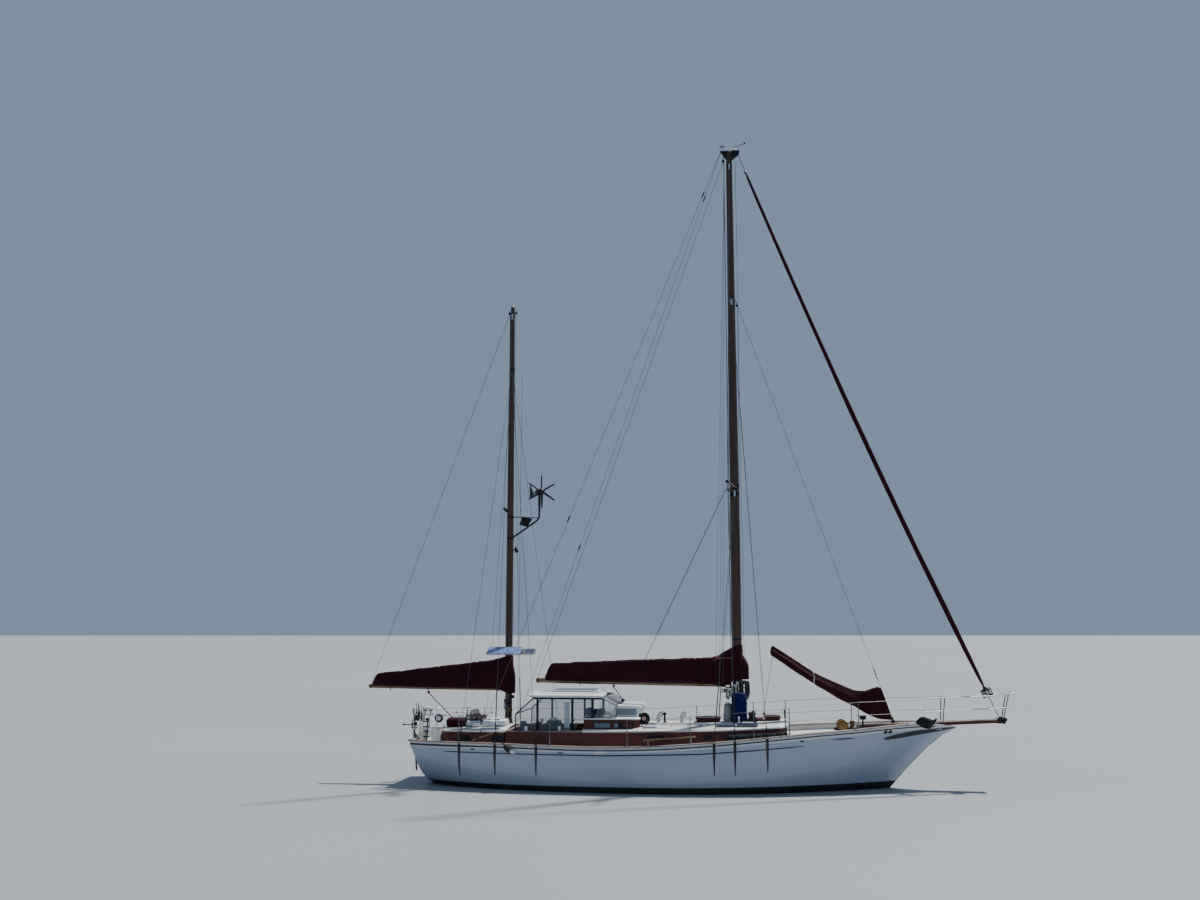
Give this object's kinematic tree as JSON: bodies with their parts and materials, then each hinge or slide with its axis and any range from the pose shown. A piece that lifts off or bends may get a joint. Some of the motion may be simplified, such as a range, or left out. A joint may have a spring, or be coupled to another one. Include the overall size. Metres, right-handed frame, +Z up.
{
  "type": "sailing yacht",
  "caption": "Two-masted cruising yacht with a clipper bow, long keel, bowsprit, cabin houses, a cockpit shelter and furled sails on swinging booms.",
  "frame": {"origin": "on the centreline amidships, in the plane of the waterline the yacht floats at", "axes": "+X towards the bow, +Y to port, +Z up along the masts"},
  "size_m": [16.324, 3.9836, 18.7281],
  "materials": {
    "topsides": "glossy white hull paint above a black bottom paint",
    "ballast": "black bottom paint",
    "underwater_gear": "black bottom paint",
    "bronze": "dull bronze",
    "teak": "weathered varnished teak",
    "strake_paint": "dark navy paint and dull metal straps",
    "mahogany": "varnished mahogany",
    "white_moulding": "glossy white moulding with a darker non-slip area",
    "spar_varnish": "varnished spruce",
    "stainless": "polished stainless tube",
    "shelter_metal": "dark navy canvas-covered tube",
    "clear_vinyl": "clear vinyl sheet",
    "wire": "laid stainless wire",
    "maroon_canvas": "matt maroon sailcloth cover",
    "blue_canvas": "matt blue canvas",
    "tan_canvas": "matt tan canvas",
    "grey_canvas": "matt grey canvas",
    "cushion_vinyl": "pale blue-white vinyl",
    "dark_metal": "dark painted metal",
    "solar_glass": "dark solar cells under glass"
  },
  "bodies": {
    "hull": {"hull": "topsides", "ballast_keel": "ballast", "cap_rail": "teak", "strake_and_chainplates": "strake_paint", "trunk_cabin": "mahogany", "trunk_top": "white_moulding", "doghouse": "mahogany", "doghouse_top": "white_moulding", "screen_box": "white_moulding", "aft_cabin": "mahogany", "aft_cabin_top": "white_moulding", "cockpit_coaming": "mahogany", "shelter_frame": "shelter_metal", "shelter_roof": "white_moulding", "shelter_curtains": "clear_vinyl", "bowsprit": "spar_varnish", "pulpit": "stainless", "pushpit": "stainless", "guard_rail_port_aft": "stainless", "guard_rail_port_fore": "stainless", "guard_rail_starboard_aft": "stainless", "guard_rail_starboard_fore": "stainless", "windlass": "dark_metal", "anchor": "dark_metal", "main_mast": "spar_varnish", "mizzen_mast": "spar_varnish", "main_cap_shroud_port": "wire", "main_cap_shroud_starboard": "wire", "main_lower_shroud_port": "wire", "main_lower_shroud_starboard": "wire", "mizzen_cap_shroud_port": "wire", "mizzen_cap_shroud_starboard": "wire", "mizzen_lower_shrouds_port": "wire", "mizzen_lower_shrouds_starboard": "wire", "backstay_port": "wire", "backstay_starboard": "wire", "inner_forestay": "wire", "furled_headsail": "maroon_canvas", "generator_arm": "stainless", "mizzen_panels": "solar_glass", "halyard_bag_blue": "blue_canvas", "halyard_bag_canvas": "tan_canvas", "side_deck_roll": "grey_canvas", "aft_deck_bag": "maroon_canvas", "deck_cushions": "cushion_vinyl", "vane_gear": "dark_metal"},
    "rudder": {"rudder": "underwater_gear"},
    "propeller": {"propeller": "bronze"},
    "steering_wheel": {"steering_wheel": "stainless"},
    "companionway_door": {"companionway_door": "mahogany"},
    "mid_hatch": {"mid_hatch": "mahogany"},
    "fore_hatch": {"fore_hatch": "mahogany"},
    "main_boom": {"main_boom": "spar_varnish", "main_sail_cover": "maroon_canvas"},
    "mizzen_boom": {"mizzen_boom": "spar_varnish", "mizzen_sail_cover": "maroon_canvas"},
    "staysail_boom": {"staysail_boom": "spar_varnish", "staysail_cover": "maroon_canvas"},
    "generator_head": {"generator_head": "dark_metal"},
    "generator_rotor": {"generator_rotor": "dark_metal"}
  },
  "joints": [
    {"name": "rudder_turn", "type": "hinge", "parent": "hull", "child": "rudder", "pos_m": [-4.7, 0, -1.83], "axis": [-0.3813, 0, 0.9245], "range_deg": [-35, 35]},
    {"name": "wheel_turn", "type": "hinge", "parent": "hull", "child": "steering_wheel", "pos_m": [-2.48, 0.6, 1.4], "axis": [1, 0, 0], "range_deg": [-350, 350]},
    {"name": "propeller_spin", "type": "hinge", "parent": "hull", "child": "propeller", "pos_m": [-4.8, 0, -0.95], "axis": [1, 0, 0], "continuous": true},
    {"name": "door_swing", "type": "hinge", "parent": "hull", "child": "companionway_door", "pos_m": [-2.35135, -0.36, 1], "axis": [0, 0, 1], "range_deg": [0, 88]},
    {"name": "mid_hatch_lift", "type": "hinge", "parent": "hull", "child": "mid_hatch", "pos_m": [0.976, 0, 1.6333], "axis": [0, 1, 0], "range_deg": [0, 95]},
    {"name": "fore_hatch_lift", "type": "hinge", "parent": "hull", "child": "fore_hatch", "pos_m": [2.466, 0, 1.6793], "axis": [0, 1, 0], "range_deg": [0, 95]},
    {"name": "main_boom_swing", "type": "hinge", "parent": "hull", "child": "main_boom", "pos_m": [1.235, 0, 2.475], "axis": [0, 0, 1], "range_deg": [-65, 65]},
    {"name": "mizzen_boom_swing", "type": "hinge", "parent": "hull", "child": "mizzen_boom", "pos_m": [-4.6, 0, 2.335], "axis": [0, 0, 1], "range_deg": [-48, 48]},
    {"name": "staysail_boom_swing", "type": "hinge", "parent": "hull", "child": "staysail_boom", "pos_m": [5.215, 0, 1.64], "axis": [-0.3232, 0, 0.9463], "range_deg": [-40, 40]},
    {"name": "generator_yaw", "type": "hinge", "parent": "hull", "child": "generator_head", "pos_m": [-3.69, 0, 7.42], "axis": [0, 0, 1], "continuous": true},
    {"name": "generator_spin", "type": "hinge", "parent": "generator_head", "child": "generator_rotor", "pos_m": [-3.61257, -0.11059, 7.42], "axis": [0.5736, -0.8192, 0], "continuous": true}
  ],
  "couplings": [
    {"joint": "wheel_turn", "follows": "rudder_turn", "ratio": 10}
  ]
}
